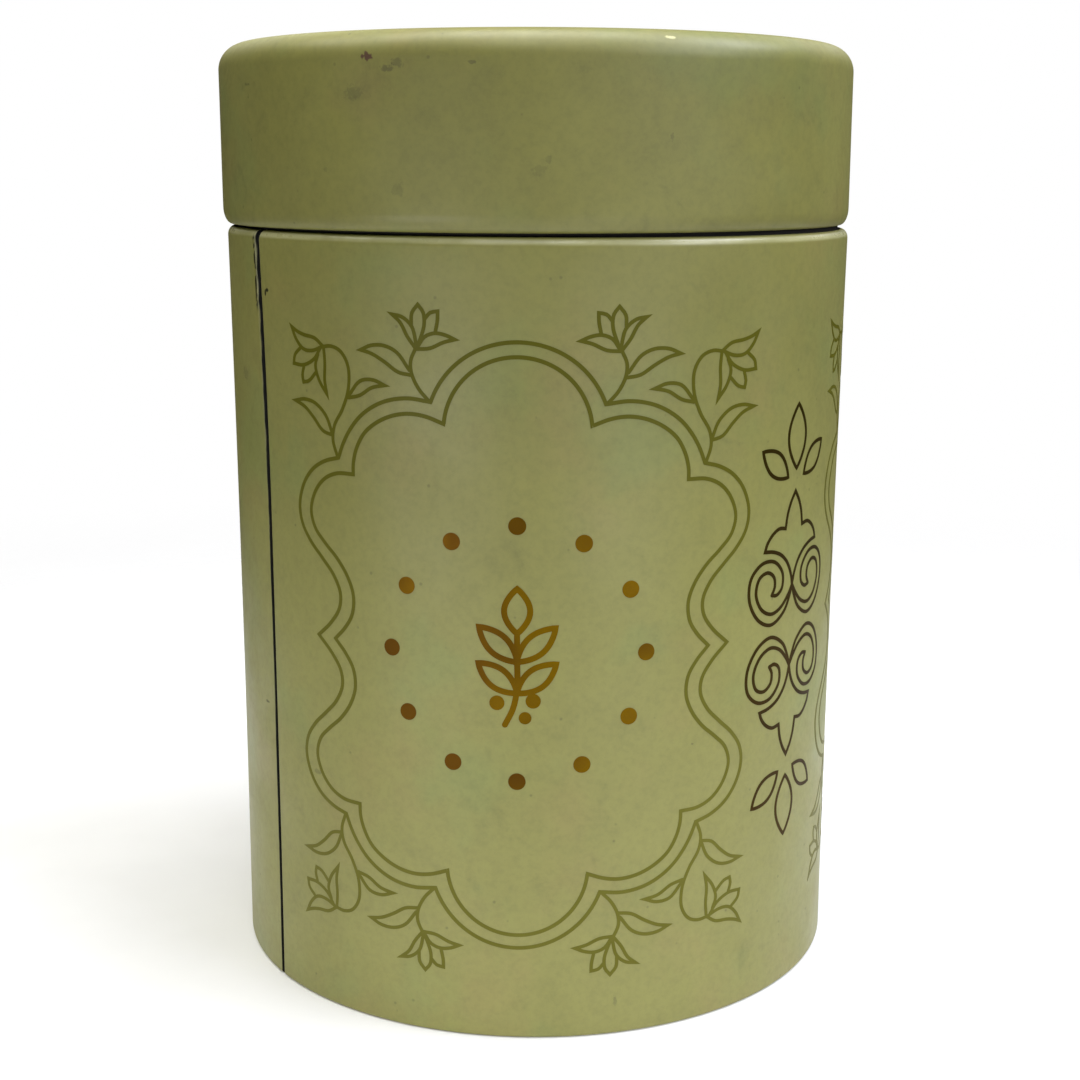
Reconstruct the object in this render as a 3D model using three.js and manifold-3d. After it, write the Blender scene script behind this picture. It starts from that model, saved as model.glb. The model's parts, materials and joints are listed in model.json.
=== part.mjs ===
// A cylindrical tinplate coffee tin with a flush slip lid and a press-in inner lid.
// Millimetres, +Z up, origin at the centre of the flat ring that the tin stands on.
// The front of the tin faces -Y. The body's lock seam is 52.2 degrees round from the front, to its left.

import * as THREE from 'three';
import { mergeVertices } from 'three/addons/utils/BufferGeometryUtils.js';
import Module from 'manifold-3d';

// Driving dimensions
const SHEET = 0.3;                // tinplate thickness
const GAP = 0.3;                  // clearance between neighbouring pieces
const BODY_R = 42.5;              // outer radius of the body
const BODY_TOP = 101.55;          // top of the body's turned-in shoulder
const LID_R = 42.8;               // outer radius of the lid
const LID_TOP = 125;              // overall height
const LID_FILLET = 3.4;           // drawn radius between the lid's skirt and its top
const NECK_R = 41.2;              // outer radius of the neck that the lid slides over
const NECK_TOP = 113.6;           // top of the neck's curled edge
const SIDES = 48;                 // facets round the large turned pieces
const SMALL_SIDES = 32;           // facets round the knob and its fixings

// Body: shoulder, foot and lock seam
const SHOULDER_IN = 1.0;          // how far the shoulder rounds inwards
const SHOULDER_DOWN = 1.2;        // how far the shoulder rounds downwards
const FOOT_ROUND = 0.5;           // radius where the wall turns in under the tin
const FOOT_LIP_R = 40.2;          // inner radius of the turned-in foot
const SEAM_ANGLE = -142.2;        // direction of the lock seam, degrees from +X
const SEAM_FOLD_WIDTH = 3.2;      // folded layers on the inside of the seam
const SEAM_FOLD_DEPTH = 0.7;
const SEAM_FOLD_BOTTOM = 4.5;     // the fold is notched away near both ends
const SEAM_FOLD_TOP = 91;
const SEAM_GROOVE_WIDTH = 0.5;    // narrow groove that the seam leaves outside
const SEAM_GROOVE_DEPTH = 0.15;

// Neck collar: its lower skirt is held under the shoulder
const NECK_SKIRT_R = BODY_R - SHEET - GAP;
const NECK_SKIRT_BOTTOM = 92;
const NECK_CURL_R = 0.6;
const NECK_JOGGLE = 1.5;          // height over which the skirt steps in to the neck

// Bottom panel and its seal
const PANEL_R = 41.6;             // outer radius of the clamped brim
const PANEL_STEP_R = 39.6;        // inside of the step between brim and centre
const PANEL_RISE = 2.6;           // underside of the raised centre
const PANEL_CORNER = 0.7;
const PANEL_BEAD_R = 31.4;        // middle of the stamped stiffening bead
const PANEL_BEAD_HALF = 4;
const PANEL_BEAD_SLOPE = 0.8;     // width of each of the bead's slopes
const PANEL_BEAD_DEPTH = 0.6;
const SEAL_INNER_R = 40.5;
const SEAL_OUTER_R = 41.8;
const SEAL_HEIGHT = 0.5;

// Lid: lower edge rolled inwards, top panel stamped slightly lower than its rim
const LID_BOTTOM = BODY_TOP + GAP;
const HEM_IN = 0.9;               // how far the lower edge rounds inwards
const HEM_UP = 1.9;               // height over which it rounds
const HEM_LEAF = 2.25;            // height of the folded-back leaf
const LID_PANEL_R = 37.6;
const LID_PANEL_STEP = 1;
const LID_PANEL_DEPTH = 0.5;

// Inner lid: pan, gasket, knob and the rivet that holds the knob
const PAN_R = 39.3;               // outer radius of the pan's wall
const PAN_FLANGE_R = 41;
const PAN_FLOOR = 105.7;          // underside of the pan's floor
const PAN_FLANGE_Z = 114.9;       // underside of the flange
const PAN_CORNER = 1;
const PAN_BEAD_R = 25;
const PAN_BEAD_HALF = 3;
const PAN_BEAD_SLOPE = 1;
const PAN_BEAD_HEIGHT = 0.7;
const GASKET_INNER_R = 39.7;
const RIVET_R = 1.5;
const RIVET_HOLE_R = RIVET_R + GAP;
const RIVET_HEAD_R = 3.5;
const RIVET_HEAD_HEIGHT = 1;
const RIVET_HEAD_EDGE = 0.3;      // straight edge of the head, next to the washer
const WASHER_R = 5;
const WASHER_HEIGHT = 0.5;
const KNOB_HEIGHT = 11.3;
const KNOB_FOOT_R = 6.2;
const KNOB_WAIST_R = 3.9;
const KNOB_HEAD_R = 8;
const KNOB_FOOT_EDGE = 0.9;       // straight edge of the foot
const KNOB_FOOT_SWEEP = 2.4;      // height over which the foot narrows to the waist
const KNOB_UNDERCUT = 2.6;        // height over which the waist widens to the head
const KNOB_DOME = 3.6;
const KNOB_HOLE_DEPTH = 7;

const wasm = await Module();
wasm.setup();

function finish(color, roughness, metalness) {
  return new THREE.MeshStandardMaterial({ color, roughness, metalness });
}

const olivePaint = () => finish(0x7d7c45, 0.42, 0.1);
const bareTinplate = () => finish(0xb9b7ad, 0.35, 0.9);
const seamCompound = () => finish(0x6d6a60, 0.8, 0);
const silicone = () => finish(0xd8d4c8, 0.6, 0);
const darkWood = () => finish(0x4a2f1d, 0.5, 0);
const steel = () => finish(0x9a9a98, 0.3, 1);

// [radius, height] points along an elliptical arc; angles are in degrees from the +radius direction.
function arc(centre, semiR, semiZ, fromDeg, toDeg, steps) {
  const points = [];
  for (let i = 0; i <= steps; i += 1) {
    const angle = THREE.MathUtils.degToRad(fromDeg + ((toDeg - fromDeg) * i) / steps);
    points.push([centre[0] + semiR * Math.cos(angle), centre[1] + semiZ * Math.sin(angle)]);
  }
  return points;
}

// Solid of revolution about Z. The outline runs up the outside and closes on itself or on the axis.
function turnedGeometry(outline, sides) {
  const points = outline.map(([radius, height]) => new THREE.Vector2(radius, height));
  const startsOnAxis = outline[0][0] === 0;
  if (!startsOnAxis) points.push(points[0].clone());
  return new THREE.LatheGeometry(points, sides).rotateX(Math.PI / 2);
}

function piece(name, geometry, material) {
  const mesh = new THREE.Mesh(geometry, material);
  mesh.name = name;
  return mesh;
}

function turned(name, outline, sides, material) {
  return piece(name, turnedGeometry(outline, sides), material);
}

function toSolid(geometry) {
  const bare = geometry.clone();
  bare.deleteAttribute('normal');
  bare.deleteAttribute('uv');
  const merged = mergeVertices(bare, 1e-4);
  return new wasm.Manifold(new wasm.Mesh({
    numProp: 3,
    vertProperties: new Float32Array(merged.attributes.position.array),
    triVerts: new Uint32Array(merged.index.array),
  }));
}

function toGeometry(solid) {
  const mesh = solid.getMesh();
  const geometry = new THREE.BufferGeometry();
  geometry.setAttribute('position', new THREE.BufferAttribute(mesh.vertProperties, 3));
  geometry.setIndex(new THREE.BufferAttribute(mesh.triVerts, 1));
  geometry.computeVertexNormals();
  return geometry;
}

// A box along the seam line, from one radius to another.
function seamBar(innerR, outerR, width, bottom, top) {
  const bar = new THREE.BoxGeometry(outerR - innerR, width, top - bottom);
  bar.translate((innerR + outerR) / 2, 0, (bottom + top) / 2);
  return bar.rotateZ(THREE.MathUtils.degToRad(SEAM_ANGLE));
}

function bodyWallOutline() {
  const foot = [BODY_R - FOOT_ROUND, FOOT_ROUND];
  const shoulder = [BODY_R - SHOULDER_IN, BODY_TOP - SHOULDER_DOWN];
  const footInside = FOOT_ROUND - SHEET;
  return [
    [FOOT_LIP_R, 0],
    ...arc(foot, FOOT_ROUND, FOOT_ROUND, -90, 0, 4),
    ...arc(shoulder, SHOULDER_IN, SHOULDER_DOWN, 0, 90, 4),
    ...arc(shoulder, SHOULDER_IN - SHEET, SHOULDER_DOWN - SHEET, 90, 0, 4),
    ...arc(foot, footInside, footInside, 0, -90, 4),
    [FOOT_LIP_R, SHEET],
  ];
}

// One rolled sheet: its seam is folded inwards, and leaves a narrow groove outside.
function bodyWall() {
  const inside = BODY_R - SHEET;
  const fold = seamBar(inside - SEAM_FOLD_DEPTH, inside + SHEET / 2, SEAM_FOLD_WIDTH,
    SEAM_FOLD_BOTTOM, SEAM_FOLD_TOP);
  const groove = seamBar(BODY_R - SEAM_GROOVE_DEPTH, BODY_R + SHEET, SEAM_GROOVE_WIDTH,
    FOOT_ROUND, BODY_TOP - SHOULDER_DOWN);
  const wall = toSolid(turnedGeometry(bodyWallOutline(), SIDES))
    .add(toSolid(fold))
    .subtract(toSolid(groove));
  return piece('body_wall', toGeometry(wall), olivePaint());
}

function neckCollar() {
  const curl = [NECK_R - NECK_CURL_R, NECK_TOP - NECK_CURL_R];
  const joggleTop = BODY_TOP - SHEET - GAP;
  const joggleBottom = joggleTop - NECK_JOGGLE;
  const outline = [
    [NECK_SKIRT_R, NECK_SKIRT_BOTTOM],
    [NECK_SKIRT_R, joggleBottom],
    [NECK_R, joggleTop],
    ...arc(curl, NECK_CURL_R, NECK_CURL_R, 0, 240, 10),
    [NECK_R - SHEET, curl[1] - NECK_CURL_R],
    [NECK_R - SHEET, joggleTop],
    [NECK_SKIRT_R - SHEET, joggleBottom],
    [NECK_SKIRT_R - SHEET, NECK_SKIRT_BOTTOM],
  ];
  return turned('neck_collar', outline, SIDES, bareTinplate());
}

function bottomPanel() {
  const brim = SHEET + GAP;
  const corner = [PANEL_STEP_R - PANEL_CORNER, PANEL_RISE - PANEL_CORNER];
  const centre = (lift) => [
    [PANEL_BEAD_R - PANEL_BEAD_HALF, PANEL_RISE + lift],
    [PANEL_BEAD_R - PANEL_BEAD_HALF + PANEL_BEAD_SLOPE, PANEL_RISE - PANEL_BEAD_DEPTH + lift],
    [PANEL_BEAD_R + PANEL_BEAD_HALF - PANEL_BEAD_SLOPE, PANEL_RISE - PANEL_BEAD_DEPTH + lift],
    [PANEL_BEAD_R + PANEL_BEAD_HALF, PANEL_RISE + lift],
  ];
  const outline = [
    [0, PANEL_RISE],
    ...centre(0),
    ...arc(corner, PANEL_CORNER, PANEL_CORNER, 90, 0, 3),
    [PANEL_STEP_R, brim],
    [PANEL_R, brim],
    [PANEL_R, brim + SHEET],
    [PANEL_STEP_R + SHEET, brim + SHEET],
    ...arc(corner, PANEL_CORNER + SHEET, PANEL_CORNER + SHEET, 0, 90, 3),
    ...centre(SHEET).reverse(),
    [0, PANEL_RISE + SHEET],
  ];
  return turned('bottom_panel', outline, SIDES, bareTinplate());
}

function bottomSeal() {
  const bottom = 2 * (SHEET + GAP);
  const middle = [(SEAL_INNER_R + SEAL_OUTER_R) / 2, bottom + SEAL_HEIGHT / 2];
  const outline = arc(middle, (SEAL_OUTER_R - SEAL_INNER_R) / 2, SEAL_HEIGHT / 2, 0, 315, 7);
  return turned('bottom_seal', outline, SIDES, seamCompound());
}

function lidShell() {
  const hem = [LID_R - HEM_IN, LID_BOTTOM + HEM_UP];
  const corner = [LID_R - LID_FILLET, LID_TOP - LID_FILLET];
  const panelZ = LID_TOP - LID_PANEL_DEPTH;
  const leafTop = LID_BOTTOM + SHEET + HEM_LEAF;
  const outline = [
    [0, panelZ - SHEET],
    [LID_PANEL_R, panelZ - SHEET],
    [LID_PANEL_R + LID_PANEL_STEP, LID_TOP - SHEET],
    ...arc(corner, LID_FILLET - SHEET, LID_FILLET - SHEET, 90, 0, 5),
    ...arc(hem, HEM_IN - SHEET, HEM_UP - SHEET, 0, -90, 4),
    [hem[0], leafTop],
    [hem[0] - SHEET, leafTop],
    [hem[0] - SHEET, LID_BOTTOM + SHEET],
    ...arc(hem, HEM_IN, HEM_UP, -90, 0, 5),
    ...arc(corner, LID_FILLET, LID_FILLET, 0, 90, 6),
    [LID_PANEL_R + LID_PANEL_STEP, LID_TOP],
    [LID_PANEL_R, panelZ],
    [0, panelZ],
  ];
  return turned('lid_shell', outline, SIDES, olivePaint());
}

function innerLidPan() {
  const corner = [PAN_R - PAN_CORNER, PAN_FLOOR + PAN_CORNER];
  const floor = (lift) => [
    [RIVET_HOLE_R, PAN_FLOOR + lift],
    [PAN_BEAD_R - PAN_BEAD_HALF, PAN_FLOOR + lift],
    [PAN_BEAD_R - PAN_BEAD_HALF + PAN_BEAD_SLOPE, PAN_FLOOR + PAN_BEAD_HEIGHT + lift],
    [PAN_BEAD_R + PAN_BEAD_HALF - PAN_BEAD_SLOPE, PAN_FLOOR + PAN_BEAD_HEIGHT + lift],
    [PAN_BEAD_R + PAN_BEAD_HALF, PAN_FLOOR + lift],
  ];
  const outline = [
    ...floor(0),
    ...arc(corner, PAN_CORNER, PAN_CORNER, -90, 0, 3),
    [PAN_R, PAN_FLANGE_Z],
    [PAN_FLANGE_R, PAN_FLANGE_Z],
    [PAN_FLANGE_R, PAN_FLANGE_Z + SHEET],
    [PAN_R - SHEET, PAN_FLANGE_Z + SHEET],
    ...arc(corner, PAN_CORNER - SHEET, PAN_CORNER - SHEET, 0, -90, 3),
    ...floor(SHEET).reverse(),
  ];
  return turned('inner_lid_pan', outline, SIDES, bareTinplate());
}

function innerLidGasket() {
  const bottom = NECK_TOP + GAP;
  const top = PAN_FLANGE_Z - GAP;
  const outline = [
    [GASKET_INNER_R, bottom],
    [PAN_FLANGE_R, bottom],
    [PAN_FLANGE_R, top],
    [GASKET_INNER_R, top],
  ];
  return turned('inner_lid_gasket', outline, SIDES, silicone());
}

// A turned mushroom knob with a blind hole for the rivet.
function innerLidKnob() {
  const bottom = PAN_FLOOR + SHEET + GAP;
  const top = bottom + KNOB_HEIGHT;
  const headZ = top - KNOB_DOME;
  const waistZ = bottom + KNOB_FOOT_EDGE + KNOB_FOOT_SWEEP;
  const outline = [
    [0, bottom + KNOB_HOLE_DEPTH],
    [RIVET_HOLE_R, bottom + KNOB_HOLE_DEPTH],
    [RIVET_HOLE_R, bottom],
    [KNOB_FOOT_R, bottom],
    [KNOB_FOOT_R, bottom + KNOB_FOOT_EDGE],
    ...arc([KNOB_FOOT_R, waistZ], KNOB_FOOT_R - KNOB_WAIST_R, KNOB_FOOT_SWEEP, 270, 180, 3),
    ...arc([KNOB_WAIST_R, headZ], KNOB_HEAD_R - KNOB_WAIST_R, KNOB_UNDERCUT, -60, 0, 3),
    ...arc([0, headZ], KNOB_HEAD_R, KNOB_DOME, 15, 75, 4),
    [0, top],
  ];
  return turned('inner_lid_knob', outline, SMALL_SIDES, darkWood());
}

function knobWasher() {
  const top = PAN_FLOOR - GAP;
  const outline = [
    [RIVET_HOLE_R, top - WASHER_HEIGHT],
    [WASHER_R, top - WASHER_HEIGHT],
    [WASHER_R, top],
    [RIVET_HOLE_R, top],
  ];
  return turned('knob_washer', outline, SMALL_SIDES, steel());
}

function knobRivet() {
  const headTop = PAN_FLOOR - WASHER_HEIGHT - 2 * GAP;
  const shankTop = PAN_FLOOR + SHEET + KNOB_HOLE_DEPTH;
  const outline = [
    [0, headTop - RIVET_HEAD_HEIGHT],
    ...arc([0, headTop - RIVET_HEAD_EDGE], RIVET_HEAD_R, RIVET_HEAD_HEIGHT - RIVET_HEAD_EDGE, -60, 0, 3),
    [RIVET_HEAD_R, headTop],
    [RIVET_R, headTop],
    [RIVET_R, shankTop],
    [0, shankTop],
  ];
  return turned('knob_rivet', outline, SMALL_SIDES, steel());
}

const tin = new THREE.Group();
tin.add(bodyWall(), neckCollar(), bottomPanel(), bottomSeal());
tin.add(lidShell());
tin.add(innerLidPan(), innerLidGasket(), innerLidKnob(), knobRivet(), knobWasher());

export default tin;
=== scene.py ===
"""A lithographed tinplate coffee tin: slip lid, neck, press-in inner lid and printed ornament.

Lengths are in millimetres, and MM scales them to the frame's metres.
On the printed wall, u is the distance round the tin from the middle of the front (to the right
when facing it) and z is the height above the table.
"""
import json
from math import cos, pi, radians, sin, sqrt

import bpy
from mathutils import Matrix, Vector
from mathutils.geometry import delaunay_2d_cdt
from mathutils.kdtree import KDTree

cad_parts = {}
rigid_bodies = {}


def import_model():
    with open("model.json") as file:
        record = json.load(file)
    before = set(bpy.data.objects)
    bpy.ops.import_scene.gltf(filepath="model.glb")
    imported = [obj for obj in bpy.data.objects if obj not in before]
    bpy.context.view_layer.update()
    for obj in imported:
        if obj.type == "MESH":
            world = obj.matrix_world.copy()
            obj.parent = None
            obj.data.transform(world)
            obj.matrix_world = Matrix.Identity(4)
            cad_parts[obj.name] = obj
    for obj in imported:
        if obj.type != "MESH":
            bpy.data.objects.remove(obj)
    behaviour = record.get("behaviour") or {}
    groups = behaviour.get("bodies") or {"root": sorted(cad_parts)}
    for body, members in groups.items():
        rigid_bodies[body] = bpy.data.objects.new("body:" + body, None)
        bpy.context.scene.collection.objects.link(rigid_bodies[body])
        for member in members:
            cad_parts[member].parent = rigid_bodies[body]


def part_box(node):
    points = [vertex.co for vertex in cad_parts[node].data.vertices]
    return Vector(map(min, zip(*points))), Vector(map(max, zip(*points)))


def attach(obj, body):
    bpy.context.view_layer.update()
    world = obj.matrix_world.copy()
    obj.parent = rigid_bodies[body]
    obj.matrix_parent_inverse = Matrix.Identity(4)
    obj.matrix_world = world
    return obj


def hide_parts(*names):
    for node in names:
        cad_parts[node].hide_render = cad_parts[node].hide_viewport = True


for leftover in list(bpy.data.objects):
    bpy.data.objects.remove(leftover)
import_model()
scene = bpy.context.scene
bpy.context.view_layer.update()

MM = 0.001


def box_mm(node):
    """Lowest and highest corner of a CAD node, in millimetres."""
    low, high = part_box(node)
    return low / MM, high / MM


BODY_HIGH = box_mm("body_wall")[1]
LID_LOW, LID_HIGH = box_mm("lid_shell")
NECK_LOW, NECK_HIGH = box_mm("neck_collar")
PANEL_LOW, PANEL_HIGH = box_mm("bottom_panel")
SEAL_LOW, SEAL_HIGH = box_mm("bottom_seal")
PAN_LOW, PAN_HIGH = box_mm("inner_lid_pan")
GASKET_LOW, GASKET_HIGH = box_mm("inner_lid_gasket")
KNOB_LOW, KNOB_HIGH = box_mm("inner_lid_knob")
RIVET_LOW, RIVET_HIGH = box_mm("knob_rivet")
WASHER_LOW, WASHER_HIGH = box_mm("knob_washer")

# Tinplate
SHEET = 0.3
FIXING_HOLE = 1.8           # half width of the hole for the rivet in the pan, washer and knob
BODY_R = BODY_HIGH.x
BODY_TOP = BODY_HIGH.z
WAIST = 0.1                 # the wall is drawn in slightly between its two turned edges
SHOULDER = (1.0, 1.2)       # how far the top edge rounds inwards and downwards
FOOT_ROUND = 0.5
FOOT_LIP_R = 40.2
FOOT_FLAT = (0.6, 0.8)      # the foot's ring takes the wall's shape this far out, over this width

# Knob
KNOB_EDGE = 0.3             # rounding of the foot
KNOB_DOME = 3.6             # height of the domed top

# Lock seam
SEAM_DEG = -52.2            # round from the front
SEAM_LEAN = (60.0, 1.12)    # the seam leans to the left above this height, by this much at the top
SEAM_DEPTH = 0.4            # groove between the two hooked edges
SEAM_GAP = (0.11, 0.29)     # half width of the groove's floor, low down and at the top
SEAM_GAP_Z = (45.0, 92.0)   # between these heights it widens
SEAM_EDGES = (0.14, 0.6)    # how wide the groove's sharp left side and round right side are
SEAM_WEAR_Z = (91.2, 92.2)  # the left side is scuffed to the metal above this
SEAM_FLARE = (0.7, 0.35, 2.2)  # extra width at the very top, its share at the floor, its height
SEAM_SHELTER = 0.18         # the inner face is pushed in by this much less than the groove
SEAM_FOLD = (1.3, 1.8, 0.7)  # half width of the inner fold, where it ends, how deep it is
SEAM_FOLD_Z = (4.5, 91.0)
SEAM_FOLD_FADE = 1.5        # height over which the fold fades in and out

# Lid
LID_R = LID_HIGH.x
LID_TOP = LID_HIGH.z
LID_BOTTOM = LID_LOW.z
LID_FILLET = 3.4
LID_HEM = (1.05, 2.2)       # how far the lid's turned edge rounds inwards and upwards
LID_PANEL_R = 37.6
LID_PANEL_DROP = 0.5
LID_LEAF = 2.5              # height of the folded-back leaf inside the lower edge
LID_SHIFT = -0.25           # the lid has play on the neck and sits a hair to the left
LID_LIFT = 0.12
LID_TILT = radians(0.2)

# Print
PANEL_PITCH = 82.3          # distance round the tin between the middles of two printed panels
PRINT_MID = 51.0            # height that the ornament is mirrored about
INK_LIFT = 0.03
INK_SINK = 0.03
LINE = 0.5
TULIP_LINE = 0.92 * LINE
SPRIG_LINE = 0.75

# Camera, worked out from the tin's proportions
CAMERA_DISTANCE = 249.6
CAMERA_HEIGHT = 110.0
CAMERA_TURN = radians(3.25)
CAMERA_PITCH = radians(13.3)
CAMERA_YAW = radians(0.6)
CAMERA_ROLL = 0.0064
CAMERA_LENS = 58.55
CAMERA_SHIFT = (-0.0138, 0.0352)


# ---- mesh helpers

def make_object(name, verts, faces, sharp_deg=35):
    mesh = bpy.data.meshes.new(name)
    mesh.from_pydata([Vector(v) * MM for v in verts], [], faces)
    mesh.update()
    mesh.polygons.foreach_set("use_smooth", [True] * len(mesh.polygons))
    mesh.set_sharp_from_angle(angle=radians(sharp_deg))
    obj = bpy.data.objects.new(name, mesh)
    scene.collection.objects.link(obj)
    return obj


def arc(centre, semi, start, end, steps):
    """[radius, height] points of an arc, angles in degrees from the +radius direction.

    semi is a circle's radius, or an ellipse's two half sizes.
    """
    across, up = semi if isinstance(semi, tuple) else (semi, semi)
    points = []
    for i in range(steps + 1):
        a = radians(start + (end - start) * i / steps)
        points.append((centre[0] + across * cos(a), centre[1] + up * sin(a)))
    return points


def even_turns(count):
    return [2 * pi * i / count - pi for i in range(count)]


def revolve(name, outline, turns=even_turns(256), shape=None):
    """Closed solid of revolution. The outline runs outwards at the bottom and up the outside.

    shape(radius, height, turn, index) may change the radius, for seams and waists.
    """
    verts, faces, rings = [], [], []
    on_axis = outline[0][0] == 0
    for index, (radius, height) in enumerate(outline):
        if radius == 0:
            rings.append([len(verts)] * len(turns))
            verts.append((0, 0, height))
            continue
        ring = []
        for turn in turns:
            r = shape(radius, height, turn, index) if shape else radius
            ring.append(len(verts))
            verts.append((r * sin(turn), -r * cos(turn), height))
        rings.append(ring)
    pairs = list(zip(rings, rings[1:]))
    if not on_axis:
        pairs.append((rings[-1], rings[0]))
    count = len(turns)
    for low, high in pairs:
        for i in range(count):
            k = (i + 1) % count
            corners = dict.fromkeys((low[i], low[k], high[k], high[i]))
            faces.append(list(corners))
    return make_object(name, verts, faces)


# ---- the tin's shape

def smooth_step(x):
    x = min(max(x, 0), 1)
    return x * x * (3 - 2 * x)


def wall_radius(z):
    t = (z - BODY_TOP / 2) / (BODY_TOP / 2)
    return BODY_R + WAIST * (2 * t * t - 1)


def seam_offset(turn):
    """Distance round the wall from the seam, in millimetres."""
    d = turn - radians(SEAM_DEG)
    d = (d + pi) % (2 * pi) - pi
    return d * BODY_R


def seam_lean(z):
    start, reach = SEAM_LEAN
    return -reach * (max(0, z - start) / (BODY_TOP - start)) ** 2


def groove_depth(s, z):
    s -= seam_lean(z)
    low, high = SEAM_GAP_Z
    floor = SEAM_GAP[0] + (SEAM_GAP[1] - SEAM_GAP[0]) * smooth_step((z - low) / (high - low))
    left, right = SEAM_EDGES
    widest, at_floor, height = SEAM_FLARE
    flare = widest * smooth_step((z - (BODY_TOP - height)) / height) ** 2
    right_floor = floor + at_floor * flare
    right_top = floor + right + flare
    if -floor <= s <= right_floor:
        share = 1
    elif -floor - left < s < -floor:
        share = smooth_step((s + floor + left) / left)
    elif right_floor < s < right_top:
        t = (right_top - s) / (right_top - right_floor)
        share = 1 - sqrt(max(0, 1 - t * t))
    else:
        share = 0
    return SEAM_DEPTH * share


def fold_depth(s, z):
    half, end, depth = SEAM_FOLD
    low, high = SEAM_FOLD_Z
    across = 1 - smooth_step((abs(s) - half) / (end - half))
    along = smooth_step((z - low) / SEAM_FOLD_FADE) * smooth_step((high - z) / SEAM_FOLD_FADE)
    return depth * across * along


def body_turns():
    """Even turns, with closer ones across the lock seam's groove and fold."""
    near = [-2.2, -2.0, -1.88, -1.8]
    near += [-1.74 + 0.04 * i for i in range(64)]
    near += [0.9, 1.0, 1.1, 1.25, 1.4, 1.55, 1.7, 1.85, 2.0, 2.2]
    seam = radians(SEAM_DEG)
    turns = [t for t in even_turns(320) if abs(seam_offset(t)) > 2.4]
    turns += [seam + s / BODY_R for s in near]
    return sorted(turns)


def body_outline():
    foot = (BODY_R - FOOT_ROUND, FOOT_ROUND)
    shoulder = (BODY_R - SHOULDER[0], BODY_TOP - SHOULDER[1])
    rows = 26
    heights = [FOOT_ROUND + (shoulder[1] - FOOT_ROUND) * i / rows for i in range(1, rows)]
    inner_foot = FOOT_ROUND - SHEET
    inner_shoulder = (SHOULDER[0] - SHEET, SHOULDER[1] - SHEET)
    outer = [(FOOT_LIP_R, 0.05), (FOOT_LIP_R + 0.05, 0)]
    outer += arc(foot, FOOT_ROUND, -90, 0, 8)
    outer += [(BODY_R, h) for h in heights]
    outer += arc(shoulder, SHOULDER, 0, 90, 10)
    inner = arc(shoulder, inner_shoulder, 90, 0, 6)
    inner += [(BODY_R - SHEET, h) for h in reversed(heights)]
    inner += arc(foot, inner_foot, 0, -90, 5)
    inner += [(FOOT_LIP_R, SHEET)]
    return outer, inner


def tin_body():
    outer, inner = body_outline()

    def shape(radius, z, turn, index):
        s = seam_offset(turn)
        depth = groove_depth(s, z)
        if index >= len(outer):
            depth = max(fold_depth(s, z), depth - SEAM_SHELTER, 0)
        start, width = FOOT_FLAT
        edge = smooth_step((radius - FOOT_LIP_R - start) / width)
        return radius + (wall_radius(z) - BODY_R - depth) * edge

    return revolve("tin_body", outer + inner, body_turns(), shape)


def tin_lid():
    hem = (LID_R - LID_HEM[0], LID_BOTTOM + LID_HEM[1])
    corner = (LID_R - LID_FILLET, LID_TOP - LID_FILLET)
    panel_z = LID_TOP - LID_PANEL_DROP
    leaf_top = LID_BOTTOM + LID_LEAF
    leaf_r = hem[0] - SHEET
    inner_fillet = LID_FILLET - SHEET
    wall = [hem[1] + (corner[1] - hem[1]) * i / 8 for i in range(1, 8)]
    outline = [(0, panel_z - SHEET), (LID_PANEL_R * 0.5, panel_z - SHEET)]
    outline += [(LID_PANEL_R, panel_z - SHEET), (LID_PANEL_R + 1, LID_TOP - SHEET)]
    outline += arc(corner, inner_fillet, 90, 0, 10)
    outline += [(LID_R - SHEET, z) for z in reversed(wall)]
    outline += arc(hem, (LID_HEM[0] - SHEET, LID_HEM[1] - SHEET), 0, -90, 7)
    outline += arc((leaf_r + SHEET / 2, leaf_top - 0.15), (SHEET / 2, 0.15), 0, 180, 4)
    outline += arc((leaf_r + SHEET, LID_BOTTOM + SHEET), SHEET, 180, 270, 4)[:-1]
    outline += arc(hem, LID_HEM, -90, 0, 12)
    outline += [(LID_R, z) for z in wall]
    outline += arc(corner, LID_FILLET, 0, 90, 16)
    step = [(0.0, 0.0), (0.15, 0.03), (0.35, 0.16), (0.5, 0.25), (0.65, 0.34), (0.85, 0.47), (1.0, 0.5)]
    outline += [(LID_PANEL_R + 1 - dx * 1.2, LID_TOP - dz) for dx, dz in step]
    outline += [(LID_PANEL_R * 0.5, panel_z), (0, panel_z)]

    def shape(radius, z, turn, index):
        flare = 0.05 * smooth_step((corner[1] - z) / 18)
        dent = 0.02 * sin(3 * turn + 0.6) + 0.012 * sin(7 * turn + z / 9)
        near_wall = smooth_step((radius - 39) / 3)
        return radius + (flare + dent) * near_wall

    lid = revolve("tin_lid", outline, even_turns(320), shape)
    seat = Matrix.Translation((LID_SHIFT * MM, 0, (LID_BOTTOM + LID_LIFT) * MM))
    tilt = Matrix.Rotation(-LID_TILT, 4, "Y")
    lid.data.transform(seat @ tilt @ Matrix.Translation((0, 0, -LID_BOTTOM * MM)))
    return lid


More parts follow.
